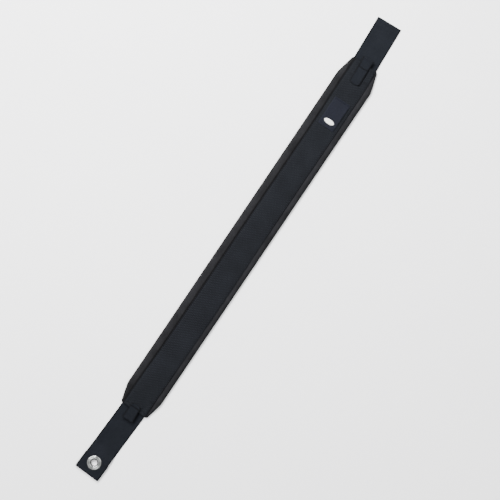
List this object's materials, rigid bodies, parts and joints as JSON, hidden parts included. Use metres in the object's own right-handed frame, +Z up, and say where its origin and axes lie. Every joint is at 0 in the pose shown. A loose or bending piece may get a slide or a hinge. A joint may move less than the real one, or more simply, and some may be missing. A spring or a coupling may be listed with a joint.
{
  "type": "padded instrument strap",
  "caption": "Long padded strap with a woven panel down its face, a flat webbing tail at each end, small folded tabs over the joints and a metal eyelet in one tail.",
  "frame": {"origin": "on the surface the strap lies on, under the middle of its outline", "axes": "+X along the pad to the plain end, -X to the eyelet end, +Z up out of the face, Y across the strap"},
  "size_m": [0.8016, 0.0586, 0.0094],
  "materials": {
    "lining": "matt brushed knit",
    "foam": "closed-cell sponge",
    "cover": "matt charcoal stretch jersey",
    "panel_webbing": "fine ribbed webbing, very dark navy",
    "tail_webbing": "flat woven webbing, slight sheen",
    "tab_webbing": "narrow soft webbing",
    "thread": "bonded polyester thread",
    "eyelet_metal": "nickel plate, lightly worn",
    "label_cloth": "damask-woven navy label",
    "mark_thread": "white satin stitch"
  },
  "bodies": {
    "pad": {"back_lining": "lining", "foam_core": "foam", "face_cover": "cover", "centre_panel": "panel_webbing", "left_panel_seam": "thread", "right_panel_seam": "thread", "edge_seam": "thread", "plain_tail_root": "tail_webbing", "plain_anchor_thread": "thread", "plain_tab_root": "tab_webbing", "plain_tab_tack": "thread", "eyelet_tail_root": "tail_webbing", "eyelet_anchor_thread": "thread", "eyelet_tab_root": "tab_webbing", "eyelet_tab_tack": "thread", "label": "label_cloth", "label_mark": "mark_thread", "label_thread": "thread"},
    "plain_tail": {"plain_tail": "tail_webbing"},
    "eyelet_tail": {"eyelet_tail": "tail_webbing", "eyelet_barrel": "eyelet_metal", "eyelet_washer": "eyelet_metal", "hem_thread": "thread"},
    "plain_tab": {"plain_tab_tip": "tab_webbing"},
    "eyelet_tab": {"eyelet_tab_tip": "tab_webbing"}
  },
  "joints": [
    {"name": "plain_tail_fold", "type": "hinge", "parent": "pad", "child": "plain_tail", "pos_m": [0.33234, 0.0019, 0.0016], "axis": [0.0489, -0.9988, 0], "range_deg": [-90, 36]},
    {"name": "plain_tab_fold", "type": "hinge", "parent": "pad", "child": "plain_tab", "pos_m": [0.33507, 0.00123, 0.0069], "axis": [0.0489, -0.9988, 0], "range_deg": [-90, 36]},
    {"name": "eyelet_tail_fold", "type": "hinge", "parent": "pad", "child": "eyelet_tail", "pos_m": [-0.28646, 0.0002, 0.0016], "axis": [0.0436, 0.999, 0], "range_deg": [-90, 36]},
    {"name": "eyelet_tab_fold", "type": "hinge", "parent": "pad", "child": "eyelet_tab", "pos_m": [-0.28919, -0.00028, 0.0069], "axis": [0.0436, 0.999, 0], "range_deg": [-90, 36]}
  ],
  "couplings": [
    {"joint": "plain_tab_fold", "follows": "plain_tail_fold", "ratio": 1},
    {"joint": "eyelet_tab_fold", "follows": "eyelet_tail_fold", "ratio": 1}
  ]
}
